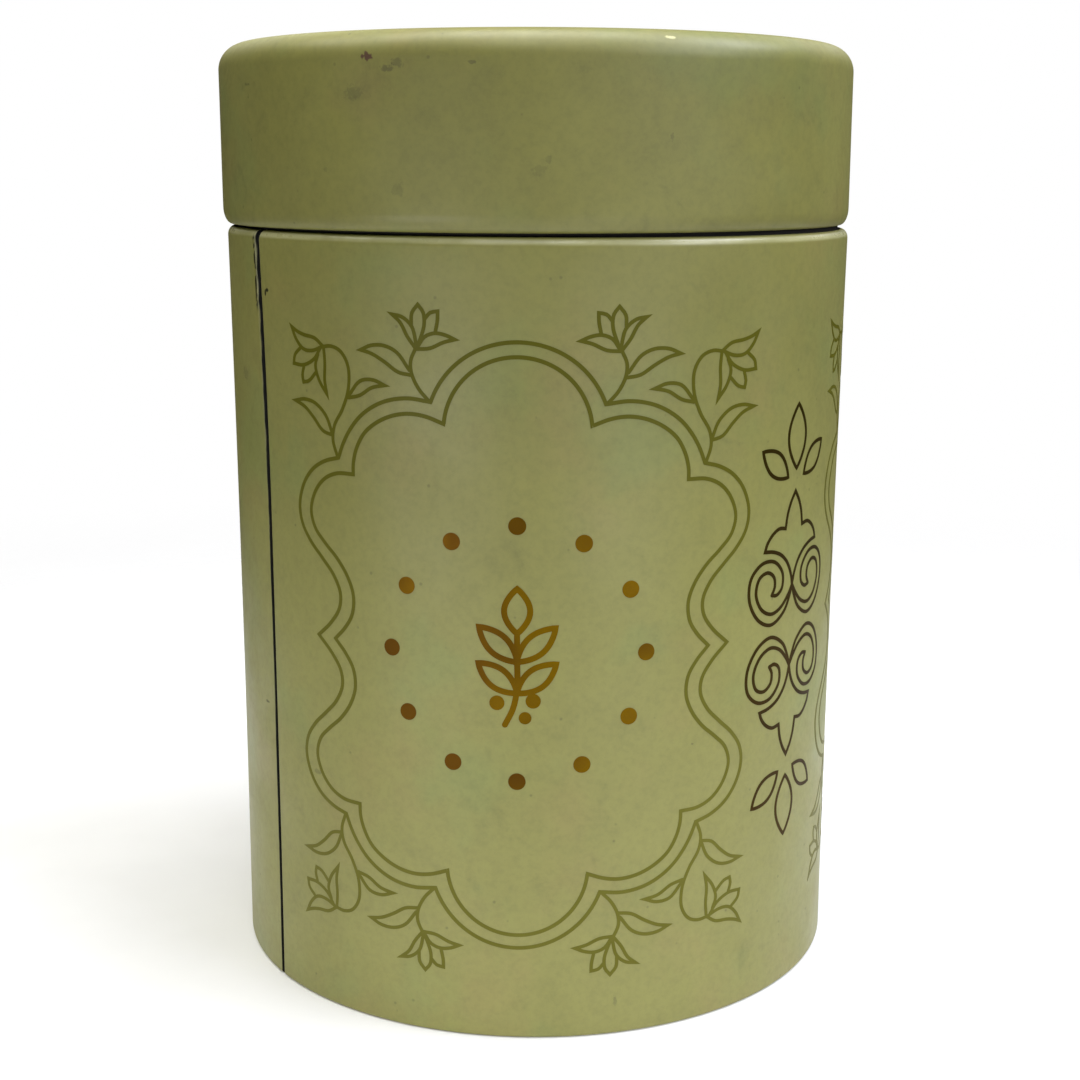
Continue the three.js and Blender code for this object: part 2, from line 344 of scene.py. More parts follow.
def tin_neck():
    neck_r = 41.2
    curl_r = 0.6
    curl = (neck_r - curl_r, NECK_HIGH.z - curl_r)
    skirt = NECK_HIGH.x
    joggle = BODY_TOP - 2 * SHEET
    outline = [(skirt - SHEET, NECK_LOW.z), (skirt, NECK_LOW.z), (skirt, joggle - 1.7)]
    outline += [(skirt - 0.1, joggle - 1.35), (neck_r + 0.1, joggle - 0.15), (neck_r, joggle + 0.2)]
    outline += [(neck_r, joggle + h) for h in (2, 4, 6, 8, 10)]
    outline += arc(curl, curl_r, 0, 250, 18)
    inner = neck_r - SHEET
    outline += [(inner, curl[1] - curl_r), (inner, joggle + 5), (inner, joggle + 0.1)]
    outline += [(inner + 0.1, joggle - 0.25), (skirt - SHEET - 0.1, joggle - 1.45)]
    outline += [(skirt - SHEET, joggle - 1.8)]
    return revolve("tin_neck", outline)


def bead(inner_r, outer_r, z, slope):
    """The two slopes of a pressed ring. The slope is [across, up] from the flat sheet at z."""
    inner = [(inner_r + dx, z + dz) for dx, dz in slope]
    return inner + [(outer_r - dx, z + dz) for dx, dz in reversed(slope)]


def tin_bottom():
    brim_z = PANEL_LOW.z
    step_r = 39.6
    rise = 2.6
    round_r = 0.7
    slope = [(0, 0), (0.25, -0.04), (0.5, -0.3), (0.75, -0.56), (1, -0.6)]
    below, above = (bead(27.4, 35.4, z, slope) for z in (rise, rise + SHEET))
    corner = (step_r - round_r, rise - round_r)
    outline = [(r, rise) for r in (0, 9, 18)] + below
    outline += arc(corner, round_r, 90, 0, 6) + [(step_r, brim_z), (PANEL_HIGH.x, brim_z)]
    outline += [(PANEL_HIGH.x, brim_z + SHEET), (step_r + SHEET, brim_z + SHEET)]
    outline += arc(corner, round_r + SHEET, 0, 90, 6)
    outline += above[::-1] + [(r, rise + SHEET) for r in (18, 9, 0)]
    return revolve("tin_bottom", outline)


def bottom_compound():
    inner_r, outer_r = 40.5, SEAL_HIGH.x
    middle = ((inner_r + outer_r) / 2, (SEAL_LOW.z + SEAL_HIGH.z) / 2)
    semi = ((outer_r - inner_r) / 2, (SEAL_HIGH.z - SEAL_LOW.z) / 2)
    outline = arc(middle, semi, 0, 360, 14)[:-1]

    def shape(radius, z, turn, index):
        return radius - 0.08 * (1 + sin(23 * turn) * sin(9 * turn + 1)) * (radius < middle[0])

    return revolve("bottom_compound", outline, shape=shape)


def inner_pan():
    wall_r = 39.3
    flange = PAN_HIGH.x
    floor = PAN_LOW.z
    flange_z = PAN_HIGH.z - SHEET
    slope = [(0, 0), (0.25, 0.05), (0.5, 0.35), (0.75, 0.65), (1, 0.7)]
    below, above = ([(FIXING_HOLE, z), (12, z)] + bead(22, 28, z, slope) for z in (floor, floor + SHEET))
    corner = (wall_r - 1, floor + 1)
    outline = below + arc(corner, 1, -90, 0, 7)
    outline += [(wall_r, floor + 4), (wall_r, flange_z - 0.2), (wall_r + 0.2, flange_z)]
    outline += arc((flange - SHEET / 2, flange_z + SHEET / 2), SHEET / 2, -90, 90, 6)
    outline += [(wall_r + 0.1, flange_z + SHEET), (wall_r - 0.2, flange_z + 0.1)]
    outline += [(wall_r - SHEET, flange_z - 0.3), (wall_r - SHEET, floor + 4)]
    outline += arc(corner, 1 - SHEET, 0, -90, 6)
    outline += above[::-1]
    return revolve("inner_pan", outline)


def pan_gasket():
    inner_r = 39.7
    r = 0.18
    low, high = GASKET_LOW.z, GASKET_HIGH.z
    outer = GASKET_HIGH.x
    outline = arc((inner_r + r, low + r), r, 180, 270, 3)
    outline += arc((outer - r, low + r), r, -90, 0, 3)
    outline += arc((outer - r, high - r), r, 0, 90, 3)
    outline += arc((inner_r + r, high - r), r, 90, 180, 3)
    return revolve("pan_gasket", outline)


def turned_knob():
    low, high = KNOB_LOW.z, KNOB_HIGH.z
    foot, waist, head = 6.2, 3.9, KNOB_HIGH.x
    head_z = high - KNOB_DOME
    outline = [(0, low + 7), (FIXING_HOLE, low + 7), (FIXING_HOLE, low)]
    outline += arc((foot - KNOB_EDGE, low + KNOB_EDGE), KNOB_EDGE, -90, 0, 3)
    outline += arc((foot - KNOB_EDGE, low + 0.8), KNOB_EDGE, 0, 90, 3)
    outline += arc((foot - KNOB_EDGE, low + 3.4), (foot - KNOB_EDGE - waist, 2.2), 270, 180, 9)
    outline += arc((waist, head_z), (head - waist, 2.6), -80, 0, 9)
    outline += arc((0, head_z), (head, KNOB_DOME), 6, 84, 16)
    outline += [(0, high)]
    return revolve("turned_knob", outline, even_turns(96))


def rivet():
    low, high = RIVET_LOW.z, RIVET_HIGH.z
    head, shank = RIVET_HIGH.x, 1.5
    outline = [(0, low)] + arc((0, low + 0.8), (head, 0.8), -84, 0, 10)
    outline += [(head, low + 1), (shank, low + 1), (shank, high - 0.3)]
    outline += [(shank - 0.3, high), (0, high)]
    return revolve("rivet", outline, even_turns(64))


def washer():
    low, high = WASHER_LOW.z, WASHER_HIGH.z
    outer, edge = WASHER_HIGH.x, 0.12
    outline = [(FIXING_HOLE, low), (outer - edge, low), (outer, low + edge)]
    outline += [(outer, high - edge), (outer - edge, high), (FIXING_HOLE, high)]
    return revolve("washer", outline, even_turns(64))


# ---- printed ornament

def through(points, step=0.4):
    """A smooth curve through the points (centripetal Catmull-Rom), cut every step millimetres."""
    pts = [Vector(p) for p in points]
    if len(pts) == 2:
        count = max(2, round((pts[1] - pts[0]).length / step))
        return [pts[0].lerp(pts[1], i / count) for i in range(count + 1)]
    ends = [pts[0] * 2 - pts[1]] + pts + [pts[-1] * 2 - pts[-2]]
    curve = []
    for a, b, c, d in zip(ends, ends[1:], ends[2:], ends[3:]):
        knots = [0.0]
        for p, q in ((a, b), (b, c), (c, d)):
            knots.append(knots[-1] + sqrt((q - p).length) + 1e-6)
        k0, k1, k2, k3 = knots
        count = max(2, round((c - b).length / step))
        for i in range(count):
            t = k1 + (k2 - k1) * i / count
            ab = a.lerp(b, (t - k0) / (k1 - k0))
            bc = b.lerp(c, (t - k1) / (k2 - k1))
            cd = c.lerp(d, (t - k2) / (k3 - k2))
            abc = ab.lerp(bc, (t - k0) / (k2 - k0))
            bcd = bc.lerp(cd, (t - k1) / (k3 - k1))
            curve.append(abc.lerp(bcd, (t - k1) / (k2 - k1)))
    return curve + [pts[-1]]


def square(direction):
    return Vector((-direction.y, direction.x)).normalized()


def bow(centre, radius, start, end, steps=36):
    return [Vector(p) for p in arc(centre, radius, start, end, steps)]


def petal(near, tip, far, pull=0.6):
    """Two curved edges meeting in a point. The drawn line's corner stops short of the inked tip."""
    tip = Vector(tip)
    inside = (Vector(near[-1]) + Vector(far[0])) / 2 - tip
    corner = tip + inside.normalized() * pull
    return [through(near + [corner]), through([corner] + far)]


def leaf(base, tip, width):
    """Two bellied edges from base to tip and back."""
    base, tip = Vector(base), Vector(tip)
    along = tip - base
    side = square(along) * (width / 2)
    edges = []
    for sign in (1, -1):
        belly = [sin(pi * i / 24) ** 0.85 for i in range(25)]
        edges.append([base + along * (i / 24) + side * sign * w for i, w in enumerate(belly)])
    return [edges[0], list(reversed(edges[1]))]


def flipped(curves, flip_u, flip_z):
    """Curves mirrored about the motif's middle, running the same way round as before."""
    moved = [[Vector((p.x * flip_u, p.y * flip_z)) for p in curve] for curve in curves]
    if flip_u * flip_z > 0:
        return moved
    return [list(reversed(curve)) for curve in reversed(moved)]


def all_round(quarter):
    """A closed outline from its upper right quarter, which runs from the top to the right."""
    return [curve for flip_u, flip_z in ((1, 1), (1, -1), (-1, -1), (-1, 1))
            for curve in flipped(quarter, flip_u, flip_z)]


class Motif:
    """Flat printed shapes in millimetres, gathered as polygons that may overlap."""

    def __init__(self):
        self.points = []
        self.polygons = []

    def polygon(self, corners):
        area = sum(p.x * q.y - q.x * p.y for p, q in zip(corners, corners[1:] + corners[:1]))
        if abs(area) < 1e-7:
            return
        start = len(self.points)
        self.points += corners
        order = list(range(start, start + len(corners)))
        self.polygons.append(order if area > 0 else order[::-1])

    def line(self, curves, width, closed=False):
        """Curves joined end to end: pointed where two meet in a corner, rounded at loose ends."""
        half = width / 2
        for curve in curves:
            sides = []
            for i, p in enumerate(curve):
                before = square(p - curve[i - 1]) if i else None
                after = square(curve[i + 1] - p) if i + 1 < len(curve) else None
                middle = ((before or after) + (after or before)).normalized()
                sides.append(middle * half / max(middle.dot(before or after), 0.5))
            for p, q, m, n in zip(curve, curve[1:], sides, sides[1:]):
                self.polygon([p - m, q - n, q + n, p + m])
        joins = list(zip(curves, curves[1:])) + ([(curves[-1], curves[0])] if closed else [])
        for ending, starting in joins:
            self.corner(ending[-1], ending[-1] - ending[-2], starting[1] - starting[0], half)
        if not closed:
            self.cap(curves[0][0], curves[0][0] - curves[0][1], half)
            self.cap(curves[-1][-1], curves[-1][-1] - curves[-1][-2], half)

    def corner(self, at, arriving, leaving, half):
        outer = -1 if arriving.cross(leaving) > 0 else 1
        a, b = square(arriving) * outer, square(leaving) * outer
        middle = (a + b).normalized()
        reach = half / max(middle.dot(a), 0.26)
        self.polygon([at, at + a * half, at + middle * reach, at + b * half])

    def cap(self, at, ahead, half, steps=8):
        ahead = ahead.normalized()
        side = square(ahead)
        fan = []
        for i in range(steps + 1):
            t = pi * i / steps
            fan.append(at + (ahead * sin(t) - side * cos(t)) * half)
        self.polygon(fan)

    def dot(self, at, radius, sides=28):
        ring = [2 * pi * i / sides for i in range(sides)]
        self.polygon([Vector((at[0] + radius * cos(t), at[1] + radius * sin(t))) for t in ring])
        self.points.append(Vector(at))

    def merged(self):
        """Points and triangles of the polygons' union, and the edges round it."""
        points, _, faces, *_ = delaunay_2d_cdt(self.points, [], self.polygons, 0, 1e-5)
        middles = KDTree(len(faces))
        for i, face in enumerate(faces):
            middle = sum((points[k] for k in face), Vector((0, 0))) / 3
            middles.insert(middle.to_3d(), i)
        middles.balance()
        inked = set()
        for polygon in self.polygons:
            corners = [self.points[k] for k in polygon]
            centre = sum(corners, Vector((0, 0))) / len(corners)
            reach = max((p - centre).length for p in corners)
            for at, i, _ in middles.find_range(centre.to_3d(), reach):
                if inside(at.to_2d(), corners):
                    inked.add(i)
        triangles = [list(faces[i]) for i in sorted(inked)]
        sides = {(a, b) for t in triangles for a, b in zip(t, t[1:] + t[:1])}
        rim = [(a, b) for a, b in sorted(sides) if (b, a) not in sides]
        used = sorted({k for t in triangles for k in t})
        place = {k: i for i, k in enumerate(used)}
        triangles = [[place[k] for k in t] for t in triangles]
        return [points[k] for k in used], triangles, [(place[a], place[b]) for a, b in rim]


def inside(point, corners):
    """Whether a point is inside a convex polygon that runs anticlockwise."""
    edges = zip(corners, corners[1:] + corners[:1])
    return all((q - p).cross(point - p) > 0 for p, q in edges)


def wrap_print(name, motif, places):
    """Wraps copies of a motif on the wall as thin layers of ink. Places are (u, z)."""
    points, triangles, rim = motif.merged()
    verts, faces = [], []
    for u0, z0 in places:
        base = len(verts)
        for lift in (INK_LIFT, -INK_SINK):
            for p in points:
                r = wall_radius(z0 + p.y) + lift
                turn = (u0 + p.x) / BODY_R
                verts.append((r * sin(turn), -r * cos(turn), z0 + p.y))
        under = base + len(points)
        faces += [[base + i for i in t] for t in triangles]
        faces += [[under + i for i in reversed(t)] for t in triangles]
        faces += [[base + b, base + a, under + a, under + b] for a, b in rim]
    return make_object(name, verts, faces, sharp_deg=40)


def outer_frame():
    """Lobed outline of the panel, upper right quarter: arch, shoulder and waisted side."""
    arch = bow((0, 27.15), 11.3, 90, 20.5)
    shoulder = through([
        (10.6, 31.1), (13.5, 31.4), (16.2, 31.0), (18.4, 30.1), (20.4, 28.7), (22.0, 26.9),
        (23.1, 25.1), (23.85, 23.35)])
    side = through([
        (23.85, 23.35), (26.2, 22.7), (28.5, 21.4), (30.3, 19.3), (31.2, 16.6), (30.8, 14.3),
        (29.3, 12.2), (27.2, 10.3), (25.2, 8.3), (24.1, 6.1), (24.3, 4.1), (25.8, 2.0), (28.1, 0.0)])
    return all_round([arch, shoulder, side])


def inner_frame():
    arch = bow((0, 27.7), 9.0, 90, 5.4)
    shoulder = through([
        (9.0, 28.55), (11.2, 29.3), (13.3, 29.55), (15.6, 29.2), (17.9, 28.2), (19.8, 26.7),
        (21.0, 24.7), (21.5, 22.9), (21.55, 21.5)])
    side = through([
        (21.55, 21.5), (24.2, 21.35), (26.4, 20.4), (28.1, 18.6), (28.95, 16.2), (28.3, 14.0),
        (26.5, 12.2), (24.5, 10.5), (22.8, 8.3), (21.95, 6.0), (22.2, 3.6), (23.4, 1.7), (25.1, 0.0)])
    return all_round([arch, shoulder, side])


def upright_tulip():
    """Stem, one leaf and four petals, rising from the frame's first cusp."""
    stem = [through([(10.7, 31.1), (12.1, 32.6), (13.0, 34.4), (13.1, 35.9), (12.4, 37.5)])]
    side_leaf = petal([(13.0, 34.2), (14.8, 34.5), (16.6, 35.6), (18.4, 36.5)], (20.6, 36.85),
                      [(18.5, 37.5), (16.6, 37.55), (14.9, 36.8), (13.3, 34.8)])
    outer = petal([(12.5, 37.5), (13.5, 38.8), (14.4, 40.4)], (16.0, 41.6),
                  [(14.2, 41.1), (12.9, 40.0), (12.3, 37.7)])
    middle = petal([(12.95, 40.2), (12.85, 41.6)], (12.05, 43.2),
                   [(11.4, 41.7), (11.3, 40.2), (12.1, 37.8)])
    small = petal([(11.25, 40.9), (10.5, 41.7)], (9.2, 42.35), [(9.6, 40.9), (9.9, 39.4)])
    low = petal([(12.1, 37.7), (11.3, 38.8), (10.0, 39.3), (8.6, 39.1)], (6.9, 38.6),
                [(8.9, 38.25), (10.6, 37.5), (12.3, 37.35)])
    return [stem, side_leaf, outer, middle, small, low]


def drooping_tulip():
    """Hooked stem, two leaves and four petals, rising from the frame's second cusp."""
    stem = [through([
        (24.0, 23.4), (24.7, 25.5), (24.4, 27.3), (23.0, 29.5), (22.0, 32.1), (22.0, 34.8),
        (23.1, 36.5), (24.6, 37.05), (26.0, 36.9)])]
    low_leaf = petal([(24.8, 26.1), (26.4, 26.5), (28.0, 28.0), (29.6, 29.2)], (32.0, 29.85),
                     [(29.6, 30.15), (27.6, 29.8), (25.8, 28.4), (24.8, 26.3)])
    high_leaf = petal([(22.0, 30.95), (20.3, 31.35), (18.5, 32.4)], (16.1, 32.75),
                      [(18.3, 33.35), (20.2, 33.1), (21.9, 31.3)])
    top = petal([(26.0, 36.95), (27.4, 37.85), (29.4, 38.15), (30.7, 38.5)], (32.2, 39.4),
                [(31.0, 37.6), (29.6, 36.4), (27.9, 36.3), (26.0, 36.95)])
    far = petal([(30.1, 36.5), (31.3, 35.5)], (32.1, 34.2), [(29.6, 34.4), (27.6, 35.3), (26.4, 36.8)])
    small = petal([(29.5, 34.4), (29.9, 33.1)], (30.1, 31.8), [(28.7, 32.5), (27.3, 33.7)])
    low = petal([(26.9, 35.9), (27.4, 34.5), (26.8, 32.7)], (25.3, 30.6),
                [(25.85, 32.8), (25.75, 35.0), (25.9, 36.8)])
    return [stem, low_leaf, high_leaf, top, far, small, low]


def scroll_quarter():
    """Pointed palmette over a double volute, upper left quarter of the scroll column."""
    palmette = [through([(0, 17.9), (-1.0, 16.6), (-1.7, 15.1), (-2.1, 13.25)]),
                through([(-2.1, 13.25), (-3.6, 13.4), (-5.0, 12.75), (-6.0, 11.7), (-6.4, 10.75)]),
                through([(-6.4, 10.75), (-4.6, 10.5), (-2.8, 9.8), (-1.3, 8.5), (-0.4, 6.9), (0, 5.5)])]
    outer_volute = [through([
        (0, 5.5), (-0.6, 4.0), (-1.8, 2.2), (-4.6, 0.85), (-7.3, 1.9), (-9.1, 4.7), (-8.9, 7.6),
        (-6.9, 9.25), (-4.3, 9.15), (-2.4, 7.3), (-2.5, 5.4), (-3.6, 4.65), (-4.7, 4.8)])]
    inner_volute = [through([
        (0, 5.5), (-1.0, 4.2), (-2.6, 2.85), (-4.7, 2.3), (-6.8, 3.3), (-7.9, 5.5), (-7.3, 7.4),
        (-5.7, 7.95), (-4.3, 7.1), (-4.1, 5.8), (-4.7, 4.8)])]
    return palmette, [outer_volute, inner_volute]


PANELS = [(panel * PANEL_PITCH, PRINT_MID) for panel in range(3)]
COLUMNS = [(column * PANEL_PITCH - 0.2, PRINT_MID) for column in (0.5, 1.5)]
CORNERS = [(flip_u, flip_z) for flip_u in (1, -1) for flip_z in (1, -1)]


def print_frames():
    art = Motif()
    art.line(outer_frame(), LINE, closed=True)
    art.line(inner_frame(), LINE, closed=True)
    for flip_u, flip_z in CORNERS:
        for stroke in upright_tulip() + drooping_tulip():
            art.line(flipped(stroke, flip_u, flip_z), TULIP_LINE)
    return wrap_print("print_frames", art, PANELS)


def print_scrolls():
    art = Motif()
    palmette, volutes = scroll_quarter()
    for flip_z in (1, -1):
        art.line(flipped(leaf((0, 20.9), (0, 29.2), 4.3), 1, flip_z), LINE, closed=True)
        left = flipped(palmette, 1, flip_z)
        right = flipped(palmette, -1, flip_z)
        art.line(right + left if flip_z > 0 else left + right, LINE)
        for flip_u in (1, -1):
            side_leaf = leaf((-2.0, 19.95), (-7.4, 23.75), 3.0)
            art.line(flipped(side_leaf, flip_u, flip_z), LINE, closed=True)
            for volute in volutes:
                art.line(flipped(volute, flip_u, flip_z), LINE)
    return wrap_print("print_scrolls", art, COLUMNS)


def print_dots():
    """A ring of twelve dots in each frame."""
    art = Motif()
    ring_r, ring_z, dot_r = 16.25, 0.15, 1.1
    for i in range(12):
        a = radians(30 * i)
        art.dot((ring_r * sin(a), ring_z + ring_r * cos(a)), dot_r)
    return wrap_print("print_dots", art, PANELS)


def print_sprigs():
    """A plain leafy sprig with berries, inside each ring of dots."""
    art = Motif()
    art.line([through([(-1.5, -8.7), (-0.5, -6.6), (0, -4.0), (0, 0), (0, 3.0)])], SPRIG_LINE)
    art.line(leaf((0, 3.0), (0, 8.6), 3.2), SPRIG_LINE, closed=True)
    for side in (1, -1):
        art.line(leaf((0, -0.6), (side * 4.7, 3.7), 2.5), SPRIG_LINE, closed=True)
        art.line(leaf((0, -4.6), (side * 4.8, -0.9), 2.5), SPRIG_LINE, closed=True)
    for at, radius in (((2.0, -5.6), 0.95), ((-2.5, -5.9), 0.95), ((1.0, -7.8), 0.8)):
        art.dot(at, radius)
    return wrap_print("print_sprigs", art, PANELS)


# ---- materials

class Surface:
    """A Principled material and short ways to add nodes to it."""

    def __init__(self, name, **values):
        self.material = bpy.data.materials.new(name)
        self.material.use_nodes = True
        self.tree = self.material.node_tree
        self.tree.nodes.clear()
        self.shader = self.node("BsdfPrincipled", **values)
        self.node("OutputMaterial", Surface=self.shader.outputs[0])
        coordinates = self.node("TexCoord")
        self.place = coordinates.outputs["Object"]
        self.normal = coordinates.outputs["Normal"]

    def link(self, source, target):
        if isinstance(source, (int, float, tuple)):
            target.default_value = source
        else:
            self.tree.links.new(source, target)

    def set(self, socket, source):
        self.link(source, self.shader.inputs[socket])

    def node(self, kind, **inputs):
        """A new node with its inputs set. A name's underscores stand for spaces."""
        node = self.tree.nodes.new("ShaderNode" + kind)
        for key, source in inputs.items():
            self.link(source, node.inputs[key.replace("_", " ")])
        return node

    def operate(self, kind, operation, a, b):
        node = self.node(kind)
        node.operation = operation
        self.link(a, node.inputs[0])
        self.link(b, node.inputs[1])
        return node.outputs

    def painted(self, colour, rough):
        self.set("Base Color", colour)
        self.set("Roughness", rough)
        return self.material

    def math(self, operation, a, b=0.0):
        return self.operate("Math", operation, a, b)[0]

    def add(self, a, b):
        return self.math("ADD", a, b)

    def minus(self, a, b):
        return self.math("SUBTRACT", a, b)

    def times(self, a, b):
        return self.math("MULTIPLY", a, b)

    def vector(self, operation, a, b=(0, 0, 0), output="Vector"):
        return self.operate("VectorMath", operation, a, b)[output]

    def noise(self, scale, detail=2.0, roughness=0.5, at=None, distortion=0.0):
        node = self.node("TexNoise", Scale=scale, Detail=detail, Roughness=roughness,
                         Distortion=distortion, Vector=at or self.place)
        return node.outputs["Fac"]

    def cells(self, scale):
        return self.node("TexVoronoi", Scale=scale, Vector=self.place).outputs["Distance"]

    def stretched(self, scale, location=(0, 0, 0)):
        return self.node("Mapping", Scale=scale, Location=location, Vector=self.place).outputs[0]

    def ramp(self, value, low, high, start=0.0, end=1.0):
        """Maps low..high of a value to start..end, smoothly and clamped."""
        node = self.node("MapRange", Value=value, From_Min=low, From_Max=high, To_Min=start, To_Max=end)
        node.interpolation_type = "SMOOTHSTEP"
        return node.outputs[0]

    def mix(self, share, a, b):
        node = self.node("Mix")
        node.data_type = "RGBA"
        self.link(share, node.inputs[0])
        self.link(a, node.inputs[6])
        self.link(b, node.inputs[7])
        return node.outputs[2]

    def height(self):
        return self.node("SeparateXYZ", Vector=self.place).outputs["Z"]

    def seam_distance(self):
        """Distance round the wall from the middle of the lock seam, in metres, to the right."""
        turn = radians(SEAM_DEG)
        round_wall = self.along((cos(turn), sin(turn), 0))
        opposite = self.math("LESS_THAN", self.along((sin(turn), -cos(turn), 0)), 0.0)
        start, reach = SEAM_LEAN
        above = self.math("MAXIMUM", self.minus(self.height(), start * MM), 0.0)
        share = self.math("POWER", self.math("DIVIDE", above, (BODY_TOP - start) * MM), 2.0)
        lean = self.times(share, reach * MM)
        return self.add(self.add(round_wall, lean), opposite)

    def outward(self, centre_z, z_weight=1.0):
        """1 where the surface faces away from a point on the tin's axis, 0 where it faces it.

        A large z_weight judges mostly by heights, a small one mostly by distances from the axis.
        """
        from_centre = self.vector("SUBTRACT", self.place, (0, 0, centre_z * MM))
        weighed = self.vector("MULTIPLY", from_centre, (1, 1, z_weight))
        return self.math("GREATER_THAN", self.vector("DOT_PRODUCT", weighed, self.normal, "Value"), 0.0)

    def along(self, direction):
        return self.vector("DOT_PRODUCT", self.place, direction, "Value")

    def spot(self, at, semi, ragged, scale, edge, depth=1.0):
        """A ragged oval mark: its depth inside, 0 outside.

        at is (u, z, distance from the axis), semi its half width and half height. It fades out
        between the two shares of its size in edge, and noise makes it ragged.
        """
        shift = self.vector("SUBTRACT", self.place, tuple(c * MM for c in wall_point(*at)))
        shrunk = self.vector("DIVIDE", shift, (semi[0] * MM, semi[0] * MM, semi[1] * MM))
        length = self.vector("LENGTH", shrunk, output="Value")
        uneven = self.times(self.noise(scale, 3), 2 * ragged)
        outer, inner = edge
        return self.ramp(self.add(length, uneven), outer + ragged, inner + ragged, 0.0, depth)

    def bump(self, height, distance, strength=1.0):
        node = self.node("Bump", Distance=distance * MM, Strength=strength, Height=height)
        self.set("Normal", node.outputs[0])


def rgb(r, g, b):
    return (r, g, b, 1.0)


def shade(colour, share):
    return rgb(*(share * c for c in colour[:3]))


def wall_point(u, z, radius):
    turn = u / BODY_R
    return (radius * sin(turn), -radius * cos(turn), z)


# Scales of the lacquer's unevenness, in waves per metre
CLOUD = 26
SMUDGE = 150
PATCH = 330
SPECKS = 420
GRAIN = 1100

OLIVE = rgb(0.270, 0.262, 0.070)
OLIVE_GREEN = rgb(0.240, 0.270, 0.076)
OLIVE_BROWN = rgb(0.284, 0.255, 0.074)
# colour of the grime in the lacquer's mottle and marks, also mixed in as painted shade towards the
# wall's top
GRIME_AND_SHADE = rgb(0.085, 0.080, 0.030)
# light olive painted along the shoulder as a painted highlight
SHOULDER_HIGHLIGHT = rgb(0.46, 0.45, 0.24)
TOP_SHADE_Z = (40.0, 96.0)    # painted shade: the wall's colour is darkened towards its top, where it lies in less light
SHOULDER_HIGHLIGHT_Z = (100.5, 100.95, 101.2, 101.45)  # painted highlight: the shoulder is painted light between the middle two
# painted shade in the gap under the lid: the neck's outside is painted near black below these heights
NECK_SHADE_Z = (102.0, 103.2)
BARE_INSIDE = rgb(0.60, 0.585, 0.55)
LID_SHADE = 0.835            # painted shade: the lid's lacquer is painted darker than the body's, as the tin's top lies in less light


def olive_paint(name, marks, mottle, tone=1.0):
    """Satin olive lacquer, mottled and marked by handling. tone scales its colours, and the lid's lower
    tone is painted shade.

    Each soiled mark is (u, z, distance from the axis, half width, half height, depth).
    """
    s = Surface(name, IOR=1.45)
    base, green, brown = (shade(colour, tone) for colour in (OLIVE, OLIVE_GREEN, OLIVE_BROWN))
    colour = s.mix(s.ramp(s.noise(62, 3, 0.55), 0.48, 0.30, 0.0, 0.6), base, green)
    elsewhere = s.stretched((1, 1, 1), (0.3, 0.1, 0.2))
    colour = s.mix(s.ramp(s.noise(48, 4, 0.6, at=elsewhere), 0.52, 0.70, 0.0, 0.85), colour, brown)
    cloud = s.ramp(s.noise(CLOUD, 4, 0.6), 0.35, 0.65, 0.0, mottle)
    smudge = s.ramp(s.noise(SMUDGE, 5, 0.65, distortion=0.6), 0.56, 0.78, 0.0, 0.5 * mottle)
    patchy = s.ramp(s.noise(PATCH, 3, 0.6), 0.35, 0.7, 0.0, 0.16 * mottle)
    grain = s.ramp(s.noise(GRAIN, 3, 0.7), 0.35, 0.75, 0.0, 0.15)
    specks = s.times(s.ramp(s.cells(SPECKS), 0.12, 0.05), s.ramp(s.noise(210, 1), 0.56, 0.62))
    dirt_and_shade = s.add(s.times(cloud, 0.3), smudge)
    dirt_and_shade = s.add(dirt_and_shade, s.add(grain, patchy))
    dirt_and_shade = s.add(dirt_and_shade, s.times(specks, 0.35))
    for *at, half_u, half_z, depth in marks:
        dirt_and_shade = s.add(dirt_and_shade, s.spot(at, (half_u, half_z), 1.2, 2400, (1.15, 0.6), depth))
    colour = s.mix(s.math("MINIMUM", dirt_and_shade, 0.95), colour, GRIME_AND_SHADE)
    s.colour = colour
    satin = s.ramp(s.noise(90, 5, 0.6), 0.3, 0.7, 0.36, 0.46)
    s.rough = s.add(satin, s.times(dirt_and_shade, 0.2))
    wave = s.noise(70, 2, 0.4)
    fine = s.noise(2600, 2, 0.5)
    height = s.add(wave, s.times(fine, 0.02))
    s.bump(height, 0.12, 0.5)
    return s


def bare_inside(s, outside, colour, rough):
    """The finished material, with bare tinplate where outside is 0."""
    bloom = s.ramp(s.noise(60, 4, 0.6, at=s.stretched((1, 1, 2.5))), 0.3, 0.75)
    plate = s.mix(bloom, BARE_INSIDE, shade(BARE_INSIDE, 0.7))
    inside = s.minus(1.0, outside)
    s.set("Metallic", inside)
    dull = s.times(inside, s.times(bloom, 0.12))
    bare_rough = s.add(s.times(inside, 0.30), dull)
    return s.painted(s.mix(outside, plate, colour), s.add(s.times(outside, rough), bare_rough))


